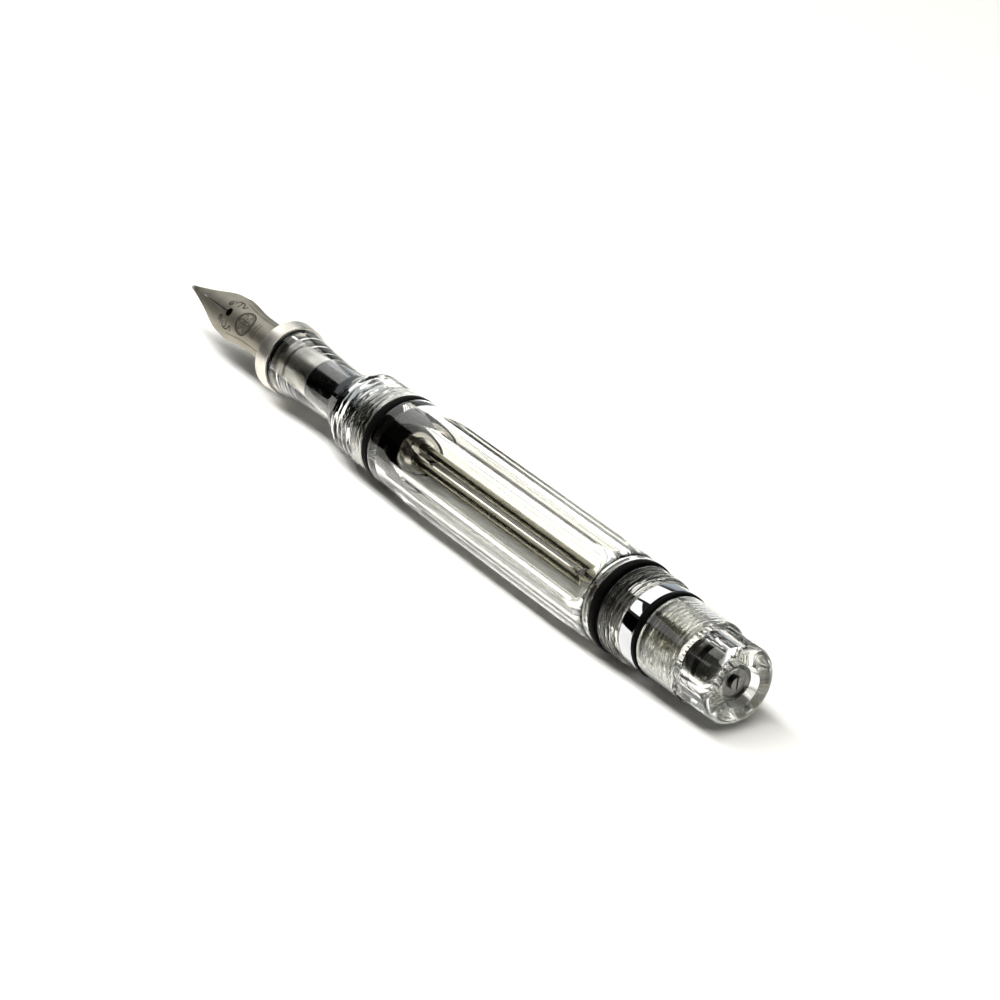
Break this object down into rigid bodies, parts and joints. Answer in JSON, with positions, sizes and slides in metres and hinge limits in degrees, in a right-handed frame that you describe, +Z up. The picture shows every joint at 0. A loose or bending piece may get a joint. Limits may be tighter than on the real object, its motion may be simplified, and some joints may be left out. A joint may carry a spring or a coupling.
{
  "type": "fountain pen",
  "caption": "Clear plunger-filling fountain pen with the cap off: steel nib, concave grip, faceted barrel, plunger on a rod and a turning knob.",
  "frame": {"origin": "centre of the pen's length and width, on the surface that the barrel's bottom flat rests on", "axes": "+X along the pen from the nib to the knob, +Z up, away from the surface that it lies on"},
  "size_m": [0.13, 0.0136, 0.0128],
  "materials": {
    "clear_barrel": "clear, polished",
    "clear_grip": "clear, polished",
    "clear_coupling": "clear, moulded",
    "clear_knob": "clear, polished",
    "nib_steel": "fine satin with polished edges",
    "tipping_metal": "polished",
    "trim_steel": "polished steel",
    "inner_steel": "turned steel",
    "dark_steel": "darkened turned steel",
    "rod_steel": "drawn rod, fine lengthwise lines",
    "chrome": "mirror",
    "black_plastic": "glossy black",
    "black_rubber": "smooth black rubber",
    "brass": "turned brass"
  },
  "bodies": {
    "barrel": {"barrel": "clear_barrel", "rear_oring": "black_rubber", "rear_coupling": "clear_coupling", "rod_guide": "dark_steel", "rod_packing": "black_rubber", "gland_nut": "brass", "chrome_ring": "chrome", "knob_oring": "black_rubber"},
    "front_seal": {"front_oring": "black_rubber"},
    "grip": {"grip_section": "clear_grip", "trim_ring": "trim_steel", "trim_gasket": "black_rubber", "nib_collar": "inner_steel", "inner_sleeve": "black_plastic", "feed": "black_plastic", "nib": "nib_steel", "nib_tipping": "tipping_metal"},
    "piston": {"plunger_seal": "black_rubber"},
    "plunger": {"plunger_rod": "rod_steel", "seal_washer": "inner_steel", "seal_screw": "inner_steel", "plunger_nut": "inner_steel", "knob": "clear_knob", "knob_insert": "dark_steel", "insert_oring": "black_rubber", "knob_disc": "dark_steel", "rod_end_screw": "dark_steel"}
  },
  "joints": [
    {"name": "plunger_stroke", "type": "slide", "parent": "barrel", "child": "piston", "axis": [1, 0, 0], "range_m": [0, 0.044]},
    {"name": "knob_turn", "type": "hinge", "parent": "piston", "child": "plunger", "pos_m": [0.06, 0, 0.00642], "axis": [1, 0, 0], "range_deg": [0, 1440]},
    {"name": "section_draw", "type": "slide", "parent": "barrel", "child": "front_seal", "axis": [-1, 0, 0], "range_m": [0, 0.005]},
    {"name": "section_turn", "type": "hinge", "parent": "front_seal", "child": "grip", "pos_m": [-0.01, 0, 0.00642], "axis": [-1, 0, 0], "range_deg": [0, 1800]}
  ],
  "couplings": [
    {"joint": "section_turn", "follows": "section_draw", "rad_per_m": 6283.2}
  ]
}
